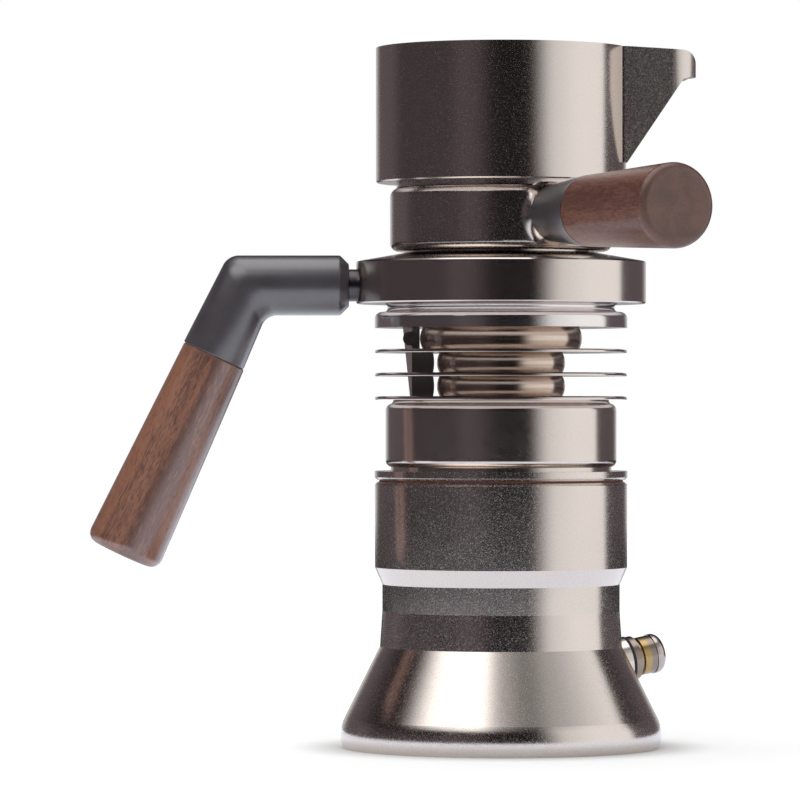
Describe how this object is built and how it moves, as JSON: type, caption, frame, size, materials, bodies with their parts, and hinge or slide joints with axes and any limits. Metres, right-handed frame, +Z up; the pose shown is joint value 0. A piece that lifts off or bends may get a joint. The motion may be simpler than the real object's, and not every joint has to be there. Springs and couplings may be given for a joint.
{
  "type": "stovetop espresso maker",
  "caption": "Stovetop espresso maker with a bell-shaped boiler, a finned upper boiler, a screw-on pouring jug with a lip, and turned wooden handles.",
  "frame": {"origin": "on the turning axis, at the underside of the foot", "axes": "+Z up along the turning axis, +X towards the pouring lip, -X towards the long handle"},
  "size_m": [0.1889, 0.1529, 0.218],
  "materials": {
    "satin_nickel": "bead-blasted satin nickel plate on turned brass",
    "bright_nickel": "bright nickel plate on turned brass",
    "bare_brass": "turned brass, part plated",
    "stainless": "plain stainless steel",
    "silicone": "red-brown moulded silicone",
    "fibre_washer": "dark pressed fibre",
    "walnut": "oiled walnut, turned",
    "dark_coat": "matt dark grey coat on cast aluminium",
    "grey_ferrule": "satin grey anodised"
  },
  "bodies": {
    "base": {"base_boiler": "satin_nickel", "relief_washer": "fibre_washer", "relief_body": "bare_brass", "relief_cap": "bright_nickel", "relief_spring": "stainless"},
    "relief": {"relief_poppet": "bare_brass"},
    "boiler_seal": {"boiler_gasket": "silicone"},
    "pressure": {"pressure_poppet": "bare_brass"},
    "jug_seal": {"group_gasket": "silicone"},
    "jug": {"jug": "satin_nickel", "jug_screen": "stainless", "coffee_chimney": "satin_nickel", "jug_ferrule": "grey_ferrule", "jug_rod": "stainless", "jug_grip": "walnut"},
    "upper": {"boiler_flange": "satin_nickel", "dip_tube": "stainless", "pressure_spring": "stainless", "pressure_cap": "bare_brass", "upper_boiler": "satin_nickel", "heat_exchange_coil": "stainless", "fin_lower": "bright_nickel", "fin_middle": "bright_nickel", "fin_upper": "bright_nickel", "spool_lower": "bright_nickel", "spool_upper": "bright_nickel", "riser_tube": "stainless", "vent_post": "bright_nickel", "vent_plug": "bare_brass", "group_head": "satin_nickel", "shower_plate": "stainless", "filter_basket": "stainless", "group_collar": "satin_nickel", "handle_stud": "stainless", "handle_elbow": "dark_coat", "handle_rod": "stainless", "handle_grip": "walnut"}
  },
  "joints": [
    {"name": "base_lift", "type": "slide", "parent": "base", "child": "boiler_seal", "axis": [0, 0, 1], "range_m": [0, 0.0146]},
    {"name": "base_turn", "type": "hinge", "parent": "boiler_seal", "child": "upper", "pos_m": [0, 0, 0.0835], "axis": [0, 0, 1], "range_deg": [0, 2610]},
    {"name": "jug_lift", "type": "slide", "parent": "upper", "child": "jug_seal", "axis": [0, 0, 1], "range_m": [0, 0.0099]},
    {"name": "jug_turn", "type": "hinge", "parent": "jug_seal", "child": "jug", "pos_m": [0, 0, 0.144], "axis": [0, 0, 1], "range_deg": [0, 1170]},
    {"name": "relief_lift", "type": "slide", "parent": "base", "child": "relief", "axis": [0.8997, 0.4006, 0.1736], "range_m": [0, 0.0015], "stiffness_N_per_m": 400, "springref_m": -0.01, "deforming": ["relief_spring"]},
    {"name": "pressure_lift", "type": "slide", "parent": "upper", "child": "pressure", "axis": [0, 0, 1], "range_m": [0, 0.002], "stiffness_N_per_m": 400, "springref_m": -0.01, "deforming": ["pressure_spring"]}
  ],
  "couplings": [
    {"joint": "base_lift", "follows": "base_turn", "m_per_rad": 0.00031831},
    {"joint": "jug_lift", "follows": "jug_turn", "m_per_rad": 0.00047746}
  ]
}
